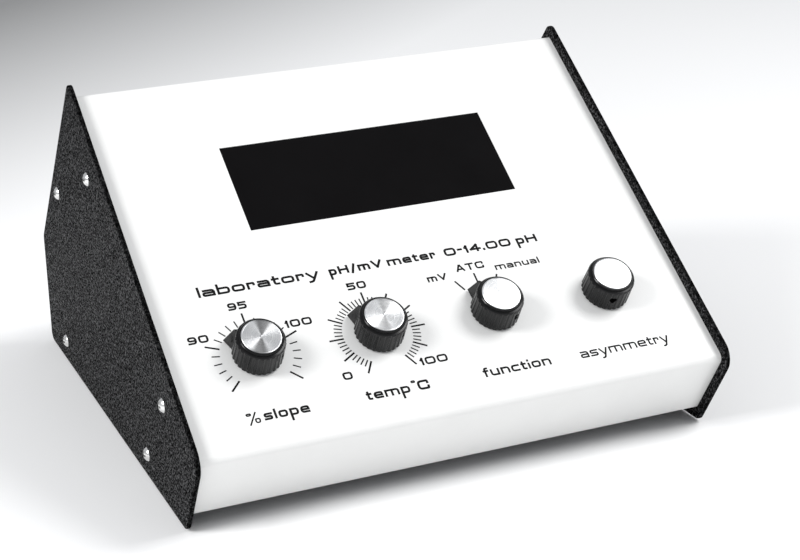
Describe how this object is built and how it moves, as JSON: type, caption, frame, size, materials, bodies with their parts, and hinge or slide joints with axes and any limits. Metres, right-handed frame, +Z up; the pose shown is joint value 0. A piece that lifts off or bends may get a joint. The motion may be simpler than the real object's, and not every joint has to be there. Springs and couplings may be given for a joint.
{
  "type": "ph meter",
  "caption": "Bench pH and millivolt meter: white sloping console between dark side cheeks, with a wide display window, rotary controls on the slope and sockets on the back.",
  "frame": {"origin": "on the bench, in the middle of the footprint", "axes": "+X to the right across the front, +Y from front to back, +Z up"},
  "size_m": [0.2288, 0.2454, 0.1432],
  "materials": {
    "textured_black": "fine wrinkle texture, satin",
    "white_enamel": "smooth semi-gloss",
    "grey_enamel": "smooth satin",
    "bright_steel": "polished",
    "black_rubber": "matt",
    "smoked_window": "polished, nearly opaque",
    "digit_plastic": "satin",
    "circuit_board": "solder resist",
    "plated_brass": "nickel plated",
    "chip_plastic": "moulded",
    "can_aluminium": "sleeved can",
    "black_anodised": "anodised",
    "tinned_steel": "tinned",
    "laminated_steel": "varnished laminations",
    "winding_tape": "varnished tape",
    "black_plastic": "moulded satin",
    "rocker_plastic": "moulded gloss",
    "socket_plastic": "moulded gloss",
    "nickel_brass": "nickel plate",
    "control_metal": "zinc plated",
    "knob_plastic": "moulded satin",
    "spun_aluminium": "spun, fine concentric grain"
  },
  "bodies": {
    "case": {"left_cheek": "textured_black", "right_cheek": "textured_black", "left_cheek_screws": "bright_steel", "right_cheek_screws": "bright_steel", "front_cover": "white_enamel", "base_tray": "grey_enamel", "rear_cover": "grey_enamel", "rear_cover_screws": "bright_steel", "rubber_feet": "black_rubber", "foot_screws": "bright_steel", "display_window": "smoked_window", "display_digits": "digit_plastic", "display_board": "circuit_board", "display_spacers": "plated_brass", "display_screws": "bright_steel", "control_washers": "bright_steel", "control_nuts": "bright_steel", "main_board": "circuit_board", "board_spacers": "plated_brass", "board_screws": "bright_steel", "board_chips": "chip_plastic", "smoothing_capacitors": "can_aluminium", "regulator_heatsink": "black_anodised", "input_shield": "tinned_steel", "transformer_core": "laminated_steel", "transformer_winding": "winding_tape", "transformer_screws": "bright_steel", "mains_inlet": "black_plastic", "inlet_screws": "bright_steel", "fuse_holder": "black_plastic", "fuse_cap": "black_plastic", "power_switch_housing": "black_plastic", "recorder_sockets": "socket_plastic", "probe_jack": "nickel_brass", "sensor_socket": "nickel_brass", "socket_nuts": "bright_steel", "slope_potentiometer": "control_metal", "temperature_potentiometer": "control_metal", "function_rotary_switch": "control_metal", "asymmetry_potentiometer": "control_metal"},
    "slope_control": {"slope_knob": "knob_plastic", "slope_knob_cap": "spun_aluminium", "slope_shaft": "bright_steel", "slope_grub_screw": "bright_steel"},
    "temperature_control": {"temperature_knob": "knob_plastic", "temperature_knob_cap": "spun_aluminium", "temperature_shaft": "bright_steel", "temperature_grub_screw": "bright_steel"},
    "function_control": {"function_knob": "knob_plastic", "function_knob_cap": "spun_aluminium", "function_shaft": "bright_steel", "function_grub_screw": "bright_steel"},
    "asymmetry_control": {"asymmetry_knob": "knob_plastic", "asymmetry_knob_cap": "spun_aluminium", "asymmetry_shaft": "bright_steel", "asymmetry_grub_screw": "bright_steel"},
    "power_rocker": {"power_rocker": "rocker_plastic"}
  },
  "joints": [
    {"name": "slope_turn", "type": "hinge", "parent": "case", "child": "slope_control", "pos_m": [-0.075, -0.08535, 0.05893], "axis": [0, -0.5625, 0.8268], "range_deg": [-186, 84]},
    {"name": "temperature_turn", "type": "hinge", "parent": "case", "child": "temperature_control", "pos_m": [-0.025, -0.08535, 0.05893], "axis": [0, -0.5625, 0.8268], "range_deg": [-194, 106]},
    {"name": "function_turn", "type": "hinge", "parent": "case", "child": "function_control", "pos_m": [0.025, -0.08535, 0.05893], "axis": [0, -0.5625, 0.8268], "range_deg": [-60, 0]},
    {"name": "asymmetry_turn", "type": "hinge", "parent": "case", "child": "asymmetry_control", "pos_m": [0.075, -0.08535, 0.05893], "axis": [0, -0.5625, 0.8268], "range_deg": [-150, 150]},
    {"name": "power_rocker_tilt", "type": "hinge", "parent": "case", "child": "power_rocker", "pos_m": [0.02, 0.11067, 0.03189], "axis": [-1, 0, 0], "range_deg": [0, 24]}
  ]
}
